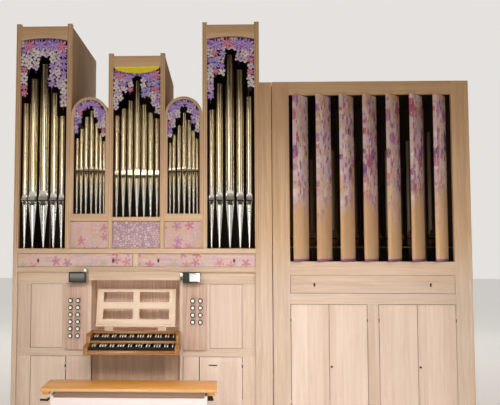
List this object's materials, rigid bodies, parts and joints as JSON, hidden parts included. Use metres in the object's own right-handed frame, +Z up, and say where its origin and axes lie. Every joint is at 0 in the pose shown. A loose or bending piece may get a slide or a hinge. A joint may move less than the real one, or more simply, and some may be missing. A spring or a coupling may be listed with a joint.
{
  "type": "pipe organ",
  "caption": "Church pipe organ in limed wood: towers and arched flats of metal pipes, a console with stop knobs and bench, and a swell case with upright louvres.",
  "frame": {"origin": "on the floor under the middle of the main case's front plinth", "axes": "+X to the right along the front as the listener sees it, +Y to the back, +Z up"},
  "size_m": [4.309, 1.97, 3.875],
  "materials": {
    "limed_wood": "limed oak, matt",
    "jamb_wood": "limed oak, matt",
    "louvre_wood": "tan wood with painted dabs",
    "honey_wood": "varnished",
    "desk_wood": "satin",
    "pale_board": "painted, satin",
    "key_black": "satin",
    "key_white": "satin",
    "knob_white": "polished face, dark rim",
    "pipe_metal": "polished tin",
    "shade_paint": "painted carving",
    "black_metal": "black"
  },
  "bodies": {
    "case": {"case_posts": "limed_wood", "case_rails": "limed_wood", "case_stiles": "limed_wood", "top_rails": "limed_wood", "flat_arches": "limed_wood", "flat_vaults": "limed_wood", "side_walls": "limed_wood", "back_walls": "limed_wood", "roofs": "limed_wood", "pipe_shades": "shade_paint", "front_pipes": "pipe_metal", "wall_panels": "limed_wood", "access_boards": "limed_wood", "stop_jambs": "jamb_wood", "console_niche": "limed_wood", "music_desk": "desk_wood", "key_desk": "honey_wood", "manual_naturals": "key_black", "manual_sharps": "key_white", "pedalboard": "honey_wood", "mirrors_and_lamps": "black_metal", "filler_board": "limed_wood", "swell_chest": "limed_wood", "swell_pipes": "pipe_metal", "bench_base": "pale_board"},
    "left_door": {"left_door": "limed_wood"},
    "right_door": {"right_door": "limed_wood"},
    "swell_door_1": {"swell_door_1": "limed_wood"},
    "swell_door_2": {"swell_door_2": "limed_wood"},
    "swell_door_3": {"swell_door_3": "limed_wood"},
    "swell_door_4": {"swell_door_4": "limed_wood"},
    "louvre_1": {"louvre_1": "louvre_wood"},
    "louvre_2": {"louvre_2": "louvre_wood"},
    "louvre_3": {"louvre_3": "louvre_wood"},
    "louvre_4": {"louvre_4": "louvre_wood"},
    "louvre_5": {"louvre_5": "louvre_wood"},
    "louvre_6": {"louvre_6": "louvre_wood"},
    "louvre_7": {"louvre_7": "louvre_wood"},
    "stop_l1": {"stop_l1": "knob_white"},
    "stop_l2": {"stop_l2": "knob_white"},
    "stop_l3": {"stop_l3": "knob_white"},
    "stop_l4": {"stop_l4": "knob_white"},
    "stop_l5": {"stop_l5": "knob_white"},
    "stop_l6": {"stop_l6": "knob_white"},
    "stop_l7": {"stop_l7": "knob_white"},
    "stop_l8": {"stop_l8": "knob_white"},
    "stop_l9": {"stop_l9": "knob_white"},
    "stop_l10": {"stop_l10": "knob_white"},
    "stop_l11": {"stop_l11": "knob_white"},
    "stop_l12": {"stop_l12": "knob_white"},
    "stop_r1": {"stop_r1": "knob_white"},
    "stop_r2": {"stop_r2": "knob_white"},
    "stop_r3": {"stop_r3": "knob_white"},
    "stop_r4": {"stop_r4": "knob_white"},
    "stop_r5": {"stop_r5": "knob_white"},
    "stop_r6": {"stop_r6": "knob_white"},
    "stop_r7": {"stop_r7": "knob_white"},
    "stop_r8": {"stop_r8": "knob_white"},
    "bench_crank": {"bench_crank": "black_metal"},
    "bench_seat": {"bench_seat": "honey_wood"}
  },
  "joints": [
    {"name": "left_door_hinge", "type": "hinge", "parent": "case", "child": "left_door", "pos_m": [-0.664, 0.024, 0.5], "axis": [0, 0, 1], "range_deg": [0, 90]},
    {"name": "right_door_hinge", "type": "hinge", "parent": "case", "child": "right_door", "pos_m": [1.002, 0.024, 0.5], "axis": [0, 0, 1], "range_deg": [0, 90]},
    {"name": "swell_door_1_hinge", "type": "hinge", "parent": "case", "child": "swell_door_1", "pos_m": [1.4545, -0.006, 0.6], "axis": [0, 0, -1], "range_deg": [0, 90]},
    {"name": "swell_door_2_hinge", "type": "hinge", "parent": "case", "child": "swell_door_2", "pos_m": [2.161, -0.006, 0.6], "axis": [0, 0, 1], "range_deg": [0, 90]},
    {"name": "swell_door_3_hinge", "type": "hinge", "parent": "case", "child": "swell_door_3", "pos_m": [2.268, -0.006, 0.6], "axis": [0, 0, -1], "range_deg": [0, 90]},
    {"name": "swell_door_4_hinge", "type": "hinge", "parent": "case", "child": "swell_door_4", "pos_m": [2.9745, -0.006, 0.6], "axis": [0, 0, 1], "range_deg": [0, 90]},
    {"name": "louvre_1_pivot", "type": "hinge", "parent": "case", "child": "louvre_1", "pos_m": [1.56093, 0.012, 2.365], "axis": [0, 0, 1], "range_deg": [-46, 34]},
    {"name": "louvre_2_pivot", "type": "hinge", "parent": "case", "child": "louvre_2", "pos_m": [1.77879, 0.012, 2.365], "axis": [0, 0, 1], "range_deg": [-46, 34]},
    {"name": "louvre_3_pivot", "type": "hinge", "parent": "case", "child": "louvre_3", "pos_m": [1.99664, 0.012, 2.365], "axis": [0, 0, 1], "range_deg": [-46, 34]},
    {"name": "louvre_4_pivot", "type": "hinge", "parent": "case", "child": "louvre_4", "pos_m": [2.2145, 0.012, 2.365], "axis": [0, 0, 1], "range_deg": [-46, 34]},
    {"name": "louvre_5_pivot", "type": "hinge", "parent": "case", "child": "louvre_5", "pos_m": [2.43236, 0.012, 2.365], "axis": [0, 0, 1], "range_deg": [-46, 34]},
    {"name": "louvre_6_pivot", "type": "hinge", "parent": "case", "child": "louvre_6", "pos_m": [2.65021, 0.012, 2.365], "axis": [0, 0, 1], "range_deg": [-46, 34]},
    {"name": "louvre_7_pivot", "type": "hinge", "parent": "case", "child": "louvre_7", "pos_m": [2.86807, 0.012, 2.365], "axis": [0, 0, 1], "range_deg": [-46, 34]},
    {"name": "stop_l1_slide", "type": "slide", "parent": "case", "child": "stop_l1", "axis": [0, -1, 0], "range_m": [0, 0.035]},
    {"name": "stop_l2_slide", "type": "slide", "parent": "case", "child": "stop_l2", "axis": [0, -1, 0], "range_m": [0, 0.035]},
    {"name": "stop_l3_slide", "type": "slide", "parent": "case", "child": "stop_l3", "axis": [0, -1, 0], "range_m": [0, 0.035]},
    {"name": "stop_l4_slide", "type": "slide", "parent": "case", "child": "stop_l4", "axis": [0, -1, 0], "range_m": [0, 0.035]},
    {"name": "stop_l5_slide", "type": "slide", "parent": "case", "child": "stop_l5", "axis": [0, -1, 0], "range_m": [0, 0.035]},
    {"name": "stop_l6_slide", "type": "slide", "parent": "case", "child": "stop_l6", "axis": [0, -1, 0], "range_m": [0, 0.035]},
    {"name": "stop_l7_slide", "type": "slide", "parent": "case", "child": "stop_l7", "axis": [0, -1, 0], "range_m": [0, 0.035]},
    {"name": "stop_l8_slide", "type": "slide", "parent": "case", "child": "stop_l8", "axis": [0, -1, 0], "range_m": [0, 0.035]},
    {"name": "stop_l9_slide", "type": "slide", "parent": "case", "child": "stop_l9", "axis": [0, -1, 0], "range_m": [0, 0.035]},
    {"name": "stop_l10_slide", "type": "slide", "parent": "case", "child": "stop_l10", "axis": [0, -1, 0], "range_m": [0, 0.035]},
    {"name": "stop_l11_slide", "type": "slide", "parent": "case", "child": "stop_l11", "axis": [0, -1, 0], "range_m": [0, 0.035]},
    {"name": "stop_l12_slide", "type": "slide", "parent": "case", "child": "stop_l12", "axis": [0, -1, 0], "range_m": [0, 0.035]},
    {"name": "stop_r1_slide", "type": "slide", "parent": "case", "child": "stop_r1", "axis": [0, -1, 0], "range_m": [0, 0.035]},
    {"name": "stop_r2_slide", "type": "slide", "parent": "case", "child": "stop_r2", "axis": [0, -1, 0], "range_m": [0, 0.035]},
    {"name": "stop_r3_slide", "type": "slide", "parent": "case", "child": "stop_r3", "axis": [0, -1, 0], "range_m": [0, 0.035]},
    {"name": "stop_r4_slide", "type": "slide", "parent": "case", "child": "stop_r4", "axis": [0, -1, 0], "range_m": [0, 0.035]},
    {"name": "stop_r5_slide", "type": "slide", "parent": "case", "child": "stop_r5", "axis": [0, -1, 0], "range_m": [0, 0.035]},
    {"name": "stop_r6_slide", "type": "slide", "parent": "case", "child": "stop_r6", "axis": [0, -1, 0], "range_m": [0, 0.035]},
    {"name": "stop_r7_slide", "type": "slide", "parent": "case", "child": "stop_r7", "axis": [0, -1, 0], "range_m": [0, 0.035]},
    {"name": "stop_r8_slide", "type": "slide", "parent": "case", "child": "stop_r8", "axis": [0, -1, 0], "range_m": [0, 0.035]},
    {"name": "bench_crank_turn", "type": "hinge", "parent": "case", "child": "bench_crank", "pos_m": [-0.59, -0.7, 0.491], "axis": [-1, 0, 0], "range_deg": [0, 2160]},
    {"name": "bench_lift", "type": "slide", "parent": "case", "child": "bench_seat", "axis": [0, 0, 1], "range_m": [0, 0.06]}
  ],
  "couplings": [
    {"joint": "louvre_2_pivot", "follows": "louvre_1_pivot", "ratio": 1},
    {"joint": "louvre_3_pivot", "follows": "louvre_1_pivot", "ratio": 1},
    {"joint": "louvre_4_pivot", "follows": "louvre_1_pivot", "ratio": 1},
    {"joint": "louvre_5_pivot", "follows": "louvre_1_pivot", "ratio": 1},
    {"joint": "louvre_6_pivot", "follows": "louvre_1_pivot", "ratio": 1},
    {"joint": "louvre_7_pivot", "follows": "louvre_1_pivot", "ratio": 1},
    {"joint": "bench_crank_turn", "follows": "bench_lift", "rad_per_m": 628.31}
  ]
}
